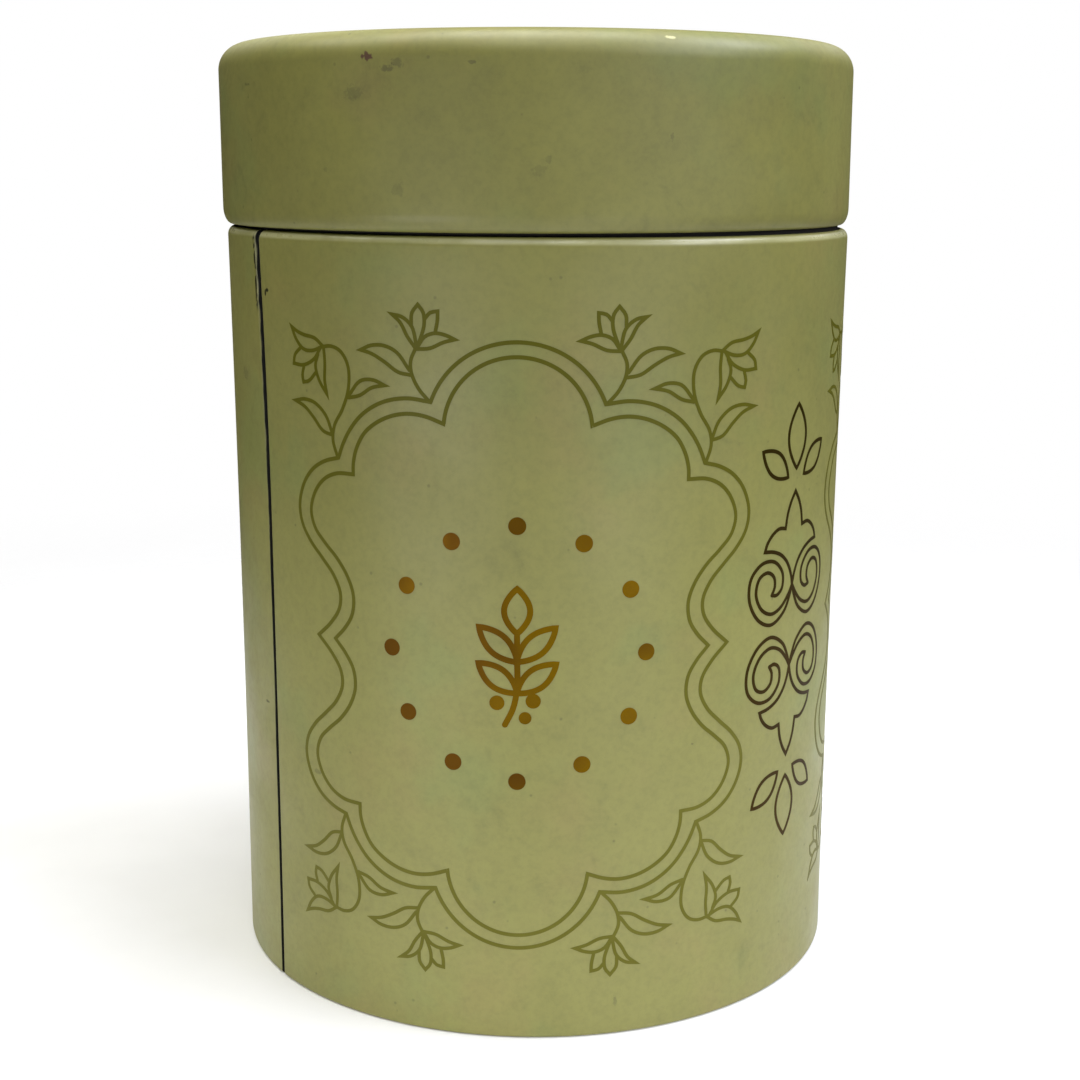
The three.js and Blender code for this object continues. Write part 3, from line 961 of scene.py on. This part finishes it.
def body_paint():
    marks = [(-41.3, 38.9, 42.5, 0.7, 0.18, 0.8),
             (-29.0, 32.3, 42.5, 0.8, 0.35, 0.35), (12.8, 4.6, 42.5, 0.35, 0.9, 0.35),
             (-45.5, 82.8, 42.5, 1.2, 0.8, 0.3), (23.0, 38.3, 42.5, 0.25, 0.2, 0.4)]
    s = olive_paint("olive_body", marks, 0.35)
    z = s.height()
    # painted shade: the wall is darkened towards its top, where less light falls
    top_shade = s.ramp(z, TOP_SHADE_Z[0] * MM, TOP_SHADE_Z[1] * MM, 0.0, 0.23)
    paint = s.mix(top_shade, s.colour, GRIME_AND_SHADE)
    across = s.seam_distance()
    floor = s.ramp(z, SEAM_GAP_Z[0] * MM, SEAM_GAP_Z[1] * MM, SEAM_GAP[0] * MM, SEAM_GAP[1] * MM)
    side = s.add(floor, SEAM_EDGES[0] * MM)
    from_left = s.add(across, side)
    scuffed = s.ramp(z, SEAM_WEAR_Z[0] * MM, SEAM_WEAR_Z[1] * MM)
    # a lighter strip along the groove's left edge: scuffed to the metal above SEAM_WEAR_Z, and lower
    # down a faint painted highlight on the rounded edge
    strip = s.times(s.ramp(from_left, -0.35 * MM, -0.12 * MM), s.ramp(from_left, 0.1 * MM, 0.0))
    bare = s.times(strip, s.ramp(scuffed, 0.0, 1.0, 0.12, 0.45))
    colour = s.mix(bare, paint, rgb(0.30, 0.295, 0.20))
    broken = s.ramp(s.noise(1100, 2, 0.6, at=s.stretched((1, 1, 0.6))), 0.42, 0.48)
    scratch = s.ramp(s.math("ABSOLUTE", s.add(from_left, 0.46 * MM)), 0.32 * MM, 0.20 * MM)
    scratch = s.times(s.times(scratch, broken), scuffed)
    for at, semi in (((-37.3, 94.15, 42.5), (0.40, 0.24)), ((-37.75, 93.8, 42.5), (0.22, 0.42))):
        scratch = s.math("MAXIMUM", scratch, s.spot(at, semi, 0.3, 1500, (1.15, 0.75)))
    colour = s.mix(s.times(scratch, 0.95), colour, rgb(0.014, 0.013, 0.003))
    # painted highlight: a band along the shoulder is painted light and made glossier
    fade_in, start, end, fade_out = (height * MM for height in SHOULDER_HIGHLIGHT_Z)
    shoulder = s.times(s.ramp(z, fade_in, start), s.ramp(z, fade_out, end))
    painted_highlight = s.times(shoulder, s.ramp(s.noise(120, 3, 0.6), 0.3, 0.6, 0.3, 0.75))
    colour = s.mix(painted_highlight, colour, SHOULDER_HIGHLIGHT)
    # painted shade: the seam's groove and its sharp left side are painted near black and made rough
    ragged = s.times(s.minus(s.noise(160, 4, 0.6), 0.5), 0.0002)
    edge = s.add(s.minus(s.math("ABSOLUTE", across), side), ragged)
    dirt_and_shade = s.ramp(edge, 0.06 * MM, -0.04 * MM)
    colour = s.mix(dirt_and_shade, colour, rgb(0.002, 0.002, 0.001))
    rough = s.minus(s.rough, s.times(painted_highlight, 0.22))
    return bare_inside(s, s.outward(BODY_TOP / 2, 0.2), colour, s.math("MAXIMUM", rough, dirt_and_shade))


def lid_paint():
    marks = [(-15.4, 120.5, 42.7, 0.9, 0.45, 0.55), (-14.1, 121.0, 42.7, 0.8, 0.5, 0.45),
             (-5.2, 121.1, 42.7, 0.5, 0.25, 0.5), (-20.0, 117.8, 42.8, 1.2, 1.0, 0.25),
             (-40.0, 119.2, 42.8, 0.7, 0.25, 0.5), (-39.8, 117.8, 42.8, 0.3, 0.5, 0.4),
             (3.6, 110.3, 42.8, 0.35, 0.5, 0.3), (2.7, 109.2, 42.8, 1.0, 0.6, 0.22),
             (-14.3, 106.8, 42.8, 0.8, 0.8, 0.25), (18.2, 113.0, 42.8, 0.25, 0.5, 0.35),
             (35.0, 117.7, 42.8, 0.3, 0.25, 0.5), (-24.5, 109.0, 42.8, 0.5, 0.35, 0.25)]
    # painted shade: the lid's lacquer is made darker than the body's
    s = olive_paint("olive_lid", marks, 0.6, LID_SHADE)
    chip = s.spot((-18.1, 121.9, 42.6), (0.8, 0.55), 0.9, 1900, (1.05, 0.75))
    colour = s.mix(chip, s.colour, rgb(0.095, 0.052, 0.030))
    glint = s.spot((18.2, 124.1, 41.4), (0.6, 0.22), 0.8, 1400, (1.2, 0.6), 0.7)
    colour = s.mix(glint, colour, rgb(0.66, 0.62, 0.32))
    return bare_inside(s, s.outward((LID_BOTTOM + LID_TOP) / 2, 3.0), colour, s.rough)


def ink(name, dark, light, top, metallic, specular):
    """Overprinted ink, slightly uneven in depth, which turns darker towards the top as painted shade."""
    s = Surface(name, Metallic=metallic, Specular_IOR_Level=specular)
    patch = s.ramp(s.noise(110, 3, 0.6), 0.3, 0.7)
    fine = s.ramp(s.noise(2200, 2, 0.6), 0.3, 0.8, 0.0, 0.25)
    colour = s.mix(s.times(s.add(patch, fine), 0.8), dark, light)
    # painted shade: the ink turns darker towards the top, where the wall lies in less light
    up = s.ramp(s.height(), 20 * MM, 90 * MM)
    return s.painted(s.mix(up, colour, top), s.ramp(s.noise(300, 3), 0.3, 0.7, 0.45, 0.55))


def olive_ink():
    dark, light, top = rgb(0.118, 0.111, 0.010), rgb(0.136, 0.128, 0.015), rgb(0.088, 0.084, 0.004)
    return ink("ink_olive", dark, light, top, metallic=0.0, specular=0.15)


def brown_ink():
    dark, light, top = rgb(0.034, 0.018, 0.002), rgb(0.056, 0.031, 0.004), rgb(0.026, 0.017, 0.0)
    return ink("ink_brown", dark, light, top, metallic=0.3, specular=0.05)


def copper_ink():
    """Foil ink that drifts between gold and dark copper over a few millimetres."""
    s = Surface("ink_copper", Metallic=0.9, Specular_IOR_Level=0.3)
    drift = s.noise(80, 1, 0.4, at=s.stretched((1, 1, 0.8), (0.031, 0.0, 0.012)))
    low = s.mix(s.ramp(drift, 0.36, 0.62), rgb(0.088, 0.038, 0.002), rgb(0.175, 0.098, 0.001))
    fine = s.ramp(s.noise(2500, 2, 0.6), 0.3, 0.8, 0.0, 0.2)
    colour = s.mix(fine, low, rgb(0.10, 0.046, 0.004))
    return s.painted(colour, s.ramp(s.noise(400, 3), 0.3, 0.7, 0.38, 0.48))


def tinplate(name, tone, stain, gap_shade=None):
    """Bare tinned steel: fine rolled grain, dull blooms and light oxide spots.

    The last argument is a pair of heights: below them the outside is painted near black, as painted
    shade in the gap under the lid's edge.
    """
    s = Surface(name, Metallic=1.0, Anisotropic=0.3)
    bloom = s.ramp(s.noise(70, 4, 0.6), 0.35, 0.7)
    colour = s.mix(bloom, shade((1, 0.985, 0.95), tone), shade((0.72, 0.70, 0.66), tone))
    spots = s.times(s.ramp(s.cells(330), 0.22, 0.08), s.ramp(s.noise(120, 3), 0.52, 0.66))
    colour = s.mix(s.times(spots, stain), colour, rgb(0.16, 0.09, 0.05))
    grain = s.noise(900, 4, 0.6, at=s.stretched((1, 1, 14)))
    rough = s.add(s.ramp(grain, 0.3, 0.7, 0.24, 0.34), s.times(bloom, 0.1))
    if gap_shade:
        # painted shade: the outside is painted near black below these heights, in the gap under the
        # lid's edge
        ragged = s.times(s.noise(260, 4, 0.6), 0.0016)
        dirt_and_shade = s.ramp(s.minus(s.height(), ragged), gap_shade[1] * MM, gap_shade[0] * MM)
        dirt_and_shade = s.times(dirt_and_shade, s.outward(gap_shade[0]))
        colour = s.mix(dirt_and_shade, colour, rgb(0.012, 0.010, 0.006))
        rough = s.add(rough, s.times(dirt_and_shade, 0.5))
        s.set("Metallic", s.minus(1.0, dirt_and_shade))
    s.bump(grain, 0.01, 0.5)
    return s.painted(colour, rough)


def soft_rubber(name, low, high):
    s = Surface(name, IOR=1.42)
    colour = s.mix(s.ramp(s.noise(260, 4, 0.6), 0.3, 0.7), low, high)
    s.bump(s.noise(1800, 3), 0.02, 0.5)
    return s.painted(colour, s.ramp(s.noise(700, 3), 0.3, 0.7, 0.55, 0.7))


def turned_wood():
    s = Surface("turned_wood", IOR=1.5, Coat_Weight=0.35, Coat_Roughness=0.25)
    rings = s.noise(320, 5, 0.65, at=s.stretched((0.35, 1.6, 1.0)), distortion=0.8)
    pores = s.ramp(s.noise(2600, 2, 0.6, at=s.stretched((0.12, 1, 1))), 0.58, 0.7)
    colour = s.mix(s.ramp(rings, 0.3, 0.7), rgb(0.05, 0.020, 0.009), rgb(0.15, 0.065, 0.028))
    colour = s.mix(s.times(pores, 0.6), colour, rgb(0.02, 0.009, 0.005))
    s.bump(pores, -0.03, 0.6)
    return s.painted(colour, s.ramp(rings, 0.3, 0.7, 0.38, 0.5))


def steel():
    s = Surface("fixing_steel", Metallic=1.0)
    wear = s.ramp(s.noise(500, 4, 0.6), 0.35, 0.7)
    colour = s.mix(wear, rgb(0.42, 0.42, 0.41), rgb(0.28, 0.27, 0.26))
    return s.painted(colour, s.ramp(s.noise(900, 3), 0.3, 0.7, 0.24, 0.4))


# ---- studio

WHITE = (1.0, 1.0, 1.0)
COOL = (0.96, 0.98, 1.10)
WARM = (1.0, 0.98, 0.86)
AIM = (0, 0, 0.06)
SMALL, LARGE, STRIP = (0.2, 0.2), (0.5, 0.4), (0.2, 0.06)
# Name, turn round from the front, distance from the axis, height, size, watts, colour
LAMPS = [
    ("overhead", 0, 0.0, 0.42, SMALL, 1.10, WHITE),
    ("overhead_right", 90, 0.25, 0.42, SMALL, 1.25, COOL),
    ("overhead_left", -90, 0.22, 0.42, SMALL, 0.67, WARM),
    ("overhead_front", 0, 0.25, 0.45, SMALL, 0.51, WHITE),
    ("window_right", 60, 0.9, 0.6, LARGE, 4.3, COOL),
    ("back_left", -150, 0.9, 0.6, LARGE, 1.1, WARM),
    ("back_right", 150, 0.9, 0.6, LARGE, 0.8, COOL),
    ("card_left", -30, 0.30, 0.03, STRIP, 0.20, WHITE),
    ("card_right", 30, 0.30, 0.03, STRIP, 0.125, COOL),
]
FLOOR_SOLID = 70            # the floor is a white sheet this far out, and fades away by FLOOR_CLEAR
FLOOR_R = 360
FLOOR_CLEAR = 0.97 * FLOOR_R
BACKDROP_R = 2500


def floor_material():
    s = Surface("white_sheet", Roughness=0.9, Specular_IOR_Level=0.1,
                Emission_Color=rgb(1, 1, 1), Emission_Strength=0.12)
    pale, dull = rgb(0.83, 0.83, 0.83), rgb(0.80, 0.80, 0.80)
    s.set("Base Color", s.mix(s.ramp(s.noise(40, 3), 0.3, 0.7), pale, dull))
    reach = s.vector("LENGTH", s.place, output="Value")
    s.set("Alpha", s.ramp(reach, FLOOR_SOLID * MM, FLOOR_CLEAR * MM, 1.0, 0.0))
    return s.material


def floor():
    """A disc whose turns run backwards, so that it faces up."""
    outline = [(radius, 0) for radius in (0, 55, FLOOR_SOLID, 140, 240, FLOOR_R)]
    obj = revolve("floor", outline, even_turns(96)[::-1])
    obj.data.materials.append(floor_material())


def backdrop():
    """A white surround that the camera sees, which throws no light on the tin."""
    outline = arc((0, 0), BACKDROP_R, -90, 90, 24)
    outline[0] = (0, -BACKDROP_R)
    outline[-1] = (0, BACKDROP_R)
    obj = revolve("backdrop", outline, even_turns(48))
    material = bpy.data.materials.new("white_surround")
    material.use_nodes = True
    tree = material.node_tree
    tree.nodes.clear()
    glow = tree.nodes.new("ShaderNodeEmission")
    out = tree.nodes.new("ShaderNodeOutputMaterial")
    tree.links.new(glow.outputs[0], out.inputs[0])
    obj.data.materials.append(material)
    for kind in ("diffuse", "glossy", "transmission", "volume_scatter", "shadow"):
        setattr(obj, "visible_" + kind, False)


def area_light(name, turn_deg, reach, height, size, watts, colour):
    """A soft lamp aimed at the tin, in metres."""
    data = bpy.data.lights.new(name, "AREA")
    data.shape = "RECTANGLE"
    data.size, data.size_y = size
    data.energy = watts
    data.color = colour
    lamp = bpy.data.objects.new(name, data)
    turn = radians(turn_deg)
    lamp.location = (reach * sin(turn), -reach * cos(turn), height)
    lamp.visible_camera = False
    direction = Vector(AIM) - lamp.location
    lamp.rotation_euler = direction.to_track_quat("-Z", "Y").to_euler()
    scene.collection.objects.link(lamp)


def studio():
    world = bpy.data.worlds.new("studio")
    world.use_nodes = True
    background = world.node_tree.nodes["Background"]
    background.inputs["Color"].default_value = rgb(0.95, 0.97, 1.0)
    background.inputs["Strength"].default_value = 0.01
    scene.world = world
    scene.view_settings.view_transform = "Standard"
    for lamp in LAMPS:
        area_light(*lamp)


def camera():
    data = bpy.data.cameras.new("camera")
    data.lens = CAMERA_LENS
    data.sensor_width = 36
    data.shift_x, data.shift_y = CAMERA_SHIFT
    data.clip_start, data.clip_end = 0.01, 20
    obj = bpy.data.objects.new("camera", data)
    scene.collection.objects.link(obj)
    place = Matrix.Rotation(CAMERA_TURN, 4, "Z")
    place @= Matrix.Translation((0, -CAMERA_DISTANCE * MM, CAMERA_HEIGHT * MM))
    place @= Matrix.Rotation(-CAMERA_YAW, 4, "Z")
    place @= Matrix.Rotation(pi / 2 - CAMERA_PITCH, 4, "X")
    place @= Matrix.Rotation(CAMERA_ROLL, 4, "Z")
    obj.matrix_world = place
    bpy.context.scene.camera = obj


# ---- assembly

def add_piece(obj, material, slot, body, *nodes):
    obj.data.materials.append(material)
    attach(obj, body)
    if nodes:
        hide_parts(*nodes)


camera()
studio()
floor()
backdrop()
add_piece(tin_body(), body_paint(), "paint_olive", "can", "body_wall")
neck_tin = tinplate("tinplate_neck", 0.62, 0.6, NECK_SHADE_Z)
add_piece(tin_neck(), neck_tin, "tinplate", "can", "neck_collar")
add_piece(tin_bottom(), tinplate("tinplate_bottom", 0.55, 0.9), "tinplate", "can", "bottom_panel")
compound = soft_rubber("seam_compound", rgb(0.10, 0.09, 0.08), rgb(0.17, 0.16, 0.14))
add_piece(bottom_compound(), compound, "seam_compound", "can", "bottom_seal")
add_piece(print_frames(), olive_ink(), "ink_olive", "can")
add_piece(print_scrolls(), brown_ink(), "ink_brown", "can")
copper = copper_ink()
add_piece(print_dots(), copper, "ink_copper", "can")
add_piece(print_sprigs(), copper, "ink_copper", "can")
add_piece(tin_lid(), lid_paint(), "paint_olive", "lid", "lid_shell")
add_piece(inner_pan(), tinplate("tinplate_pan", 0.64, 0.4), "tinplate", "inner_lid", "inner_lid_pan")
silicone = soft_rubber("silicone", rgb(0.58, 0.55, 0.48), rgb(0.68, 0.65, 0.58))
add_piece(pan_gasket(), silicone, "silicone", "inner_lid", "inner_lid_gasket")
add_piece(turned_knob(), turned_wood(), "knob_wood", "inner_lid", "inner_lid_knob")
fixings = steel()
add_piece(rivet(), fixings, "fixing_steel", "inner_lid", "knob_rivet")
add_piece(washer(), fixings, "fixing_steel", "inner_lid", "knob_washer")
